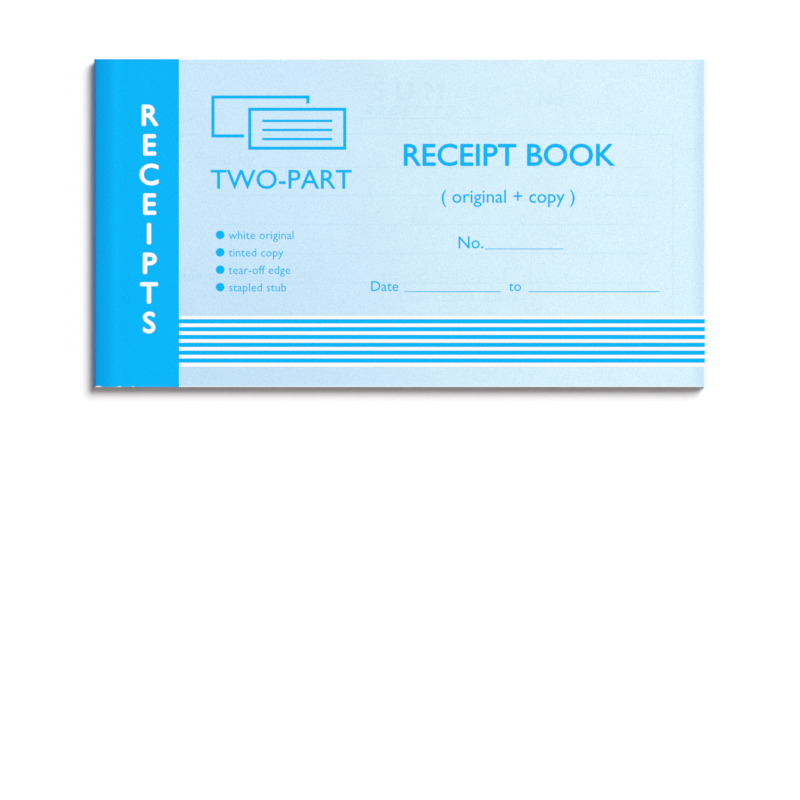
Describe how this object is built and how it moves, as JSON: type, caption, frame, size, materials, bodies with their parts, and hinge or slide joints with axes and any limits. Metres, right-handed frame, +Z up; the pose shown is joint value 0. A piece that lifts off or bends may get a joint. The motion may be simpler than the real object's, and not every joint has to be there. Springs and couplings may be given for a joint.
{
  "type": "duplicate receipt book",
  "caption": "Slim stapled receipt book: paired original and copy sheets tear from a bound stub inside a wrap-around card cover that opens and folds right behind the book.",
  "frame": {"origin": "middle of the closed book's footprint, on the surface that it lies on", "axes": "+X from the spine to the fore edge, +Y to the head of the page, +Z up out of the front cover"},
  "size_m": [0.175, 0.0936, 0.0037],
  "materials": {
    "cover_card": "uncoated card",
    "original_paper": "uncoated",
    "duplicate_paper": "uncoated",
    "staple_wire": "galvanised",
    "binding_glue": "matt"
  },
  "bodies": {
    "binding": {"back_cover": "cover_card", "spine_panel": "cover_card", "front_hinge_strip": "cover_card", "spine_glue": "binding_glue", "staples": "staple_wire", "original_stubs": "original_paper", "duplicate_stubs": "duplicate_paper"},
    "set_20": {"original_20": "original_paper", "duplicate_20": "duplicate_paper"},
    "set_19": {"original_19": "original_paper", "duplicate_19": "duplicate_paper"},
    "set_18": {"original_18": "original_paper", "duplicate_18": "duplicate_paper"},
    "set_17": {"original_17": "original_paper", "duplicate_17": "duplicate_paper"},
    "set_16": {"original_16": "original_paper", "duplicate_16": "duplicate_paper"},
    "set_15": {"original_15": "original_paper", "duplicate_15": "duplicate_paper"},
    "set_14": {"original_14": "original_paper", "duplicate_14": "duplicate_paper"},
    "set_13": {"original_13": "original_paper", "duplicate_13": "duplicate_paper"},
    "set_12": {"original_12": "original_paper", "duplicate_12": "duplicate_paper"},
    "set_11": {"original_11": "original_paper", "duplicate_11": "duplicate_paper"},
    "set_10": {"original_10": "original_paper", "duplicate_10": "duplicate_paper"},
    "set_09": {"original_09": "original_paper", "duplicate_09": "duplicate_paper"},
    "set_08": {"original_08": "original_paper", "duplicate_08": "duplicate_paper"},
    "set_07": {"original_07": "original_paper", "duplicate_07": "duplicate_paper"},
    "set_06": {"original_06": "original_paper", "duplicate_06": "duplicate_paper"},
    "set_05": {"original_05": "original_paper", "duplicate_05": "duplicate_paper"},
    "set_04": {"original_04": "original_paper", "duplicate_04": "duplicate_paper"},
    "set_03": {"original_03": "original_paper", "duplicate_03": "duplicate_paper"},
    "set_02": {"original_02": "original_paper", "duplicate_02": "duplicate_paper"},
    "duplicate_01": {"duplicate_01": "duplicate_paper"},
    "original_01": {"original_01": "original_paper"},
    "cover_roll": {"cover_roll": "cover_card"},
    "front_cover": {"front_cover": "cover_card"}
  },
  "joints": [
    {"name": "set_20_turn", "type": "hinge", "parent": "binding", "child": "set_20", "pos_m": [-0.0795, 0, 0.00373], "axis": [0, 1, 0], "range_deg": [-180, 0]},
    {"name": "set_19_turn", "type": "hinge", "parent": "set_20", "child": "set_19", "pos_m": [-0.0795, 0, 0.00373], "axis": [0, 1, 0], "range_deg": [-180, 0]},
    {"name": "set_18_turn", "type": "hinge", "parent": "set_19", "child": "set_18", "pos_m": [-0.0795, 0, 0.00373], "axis": [0, 1, 0], "range_deg": [-180, 0]},
    {"name": "set_17_turn", "type": "hinge", "parent": "set_18", "child": "set_17", "pos_m": [-0.0795, 0, 0.00373], "axis": [0, 1, 0], "range_deg": [-180, 0]},
    {"name": "set_16_turn", "type": "hinge", "parent": "set_17", "child": "set_16", "pos_m": [-0.0795, 0, 0.00373], "axis": [0, 1, 0], "range_deg": [-180, 0]},
    {"name": "set_15_turn", "type": "hinge", "parent": "set_16", "child": "set_15", "pos_m": [-0.0795, 0, 0.00373], "axis": [0, 1, 0], "range_deg": [-180, 0]},
    {"name": "set_14_turn", "type": "hinge", "parent": "set_15", "child": "set_14", "pos_m": [-0.0795, 0, 0.00373], "axis": [0, 1, 0], "range_deg": [-180, 0]},
    {"name": "set_13_turn", "type": "hinge", "parent": "set_14", "child": "set_13", "pos_m": [-0.0795, 0, 0.00373], "axis": [0, 1, 0], "range_deg": [-180, 0]},
    {"name": "set_12_turn", "type": "hinge", "parent": "set_13", "child": "set_12", "pos_m": [-0.0795, 0, 0.00373], "axis": [0, 1, 0], "range_deg": [-180, 0]},
    {"name": "set_11_turn", "type": "hinge", "parent": "set_12", "child": "set_11", "pos_m": [-0.0795, 0, 0.00373], "axis": [0, 1, 0], "range_deg": [-180, 0]},
    {"name": "set_10_turn", "type": "hinge", "parent": "set_11", "child": "set_10", "pos_m": [-0.0795, 0, 0.00373], "axis": [0, 1, 0], "range_deg": [-180, 0]},
    {"name": "set_09_turn", "type": "hinge", "parent": "set_10", "child": "set_09", "pos_m": [-0.0795, 0, 0.00373], "axis": [0, 1, 0], "range_deg": [-180, 0]},
    {"name": "set_08_turn", "type": "hinge", "parent": "set_09", "child": "set_08", "pos_m": [-0.0795, 0, 0.00373], "axis": [0, 1, 0], "range_deg": [-180, 0]},
    {"name": "set_07_turn", "type": "hinge", "parent": "set_08", "child": "set_07", "pos_m": [-0.0795, 0, 0.00373], "axis": [0, 1, 0], "range_deg": [-180, 0]},
    {"name": "set_06_turn", "type": "hinge", "parent": "set_07", "child": "set_06", "pos_m": [-0.0795, 0, 0.00373], "axis": [0, 1, 0], "range_deg": [-180, 0]},
    {"name": "set_05_turn", "type": "hinge", "parent": "set_06", "child": "set_05", "pos_m": [-0.0795, 0, 0.00373], "axis": [0, 1, 0], "range_deg": [-180, 0]},
    {"name": "set_04_turn", "type": "hinge", "parent": "set_05", "child": "set_04", "pos_m": [-0.0795, 0, 0.00373], "axis": [0, 1, 0], "range_deg": [-180, 0]},
    {"name": "set_03_turn", "type": "hinge", "parent": "set_04", "child": "set_03", "pos_m": [-0.0795, 0, 0.00373], "axis": [0, 1, 0], "range_deg": [-180, 0]},
    {"name": "set_02_turn", "type": "hinge", "parent": "set_03", "child": "set_02", "pos_m": [-0.0795, 0, 0.00373], "axis": [0, 1, 0], "range_deg": [-180, 0]},
    {"name": "duplicate_01_turn", "type": "hinge", "parent": "set_02", "child": "duplicate_01", "pos_m": [-0.0795, 0, 0.00373], "axis": [0, 1, 0], "range_deg": [-180, 0]},
    {"name": "original_01_turn", "type": "hinge", "parent": "duplicate_01", "child": "original_01", "pos_m": [-0.0795, 0, 0.00373], "axis": [0, 1, 0], "range_deg": [-180, 0]},
    {"name": "cover_crease", "type": "hinge", "parent": "original_01", "child": "cover_roll", "pos_m": [-0.0795, 0, 0.00373], "axis": [0, -1, 0], "range_deg": [0, 180]},
    {"name": "cover_wrap", "type": "hinge", "parent": "cover_roll", "child": "front_cover", "pos_m": [-0.07135, 0, 0.00561], "axis": [0, -1, 0], "range_deg": [0, 180]}
  ]
}
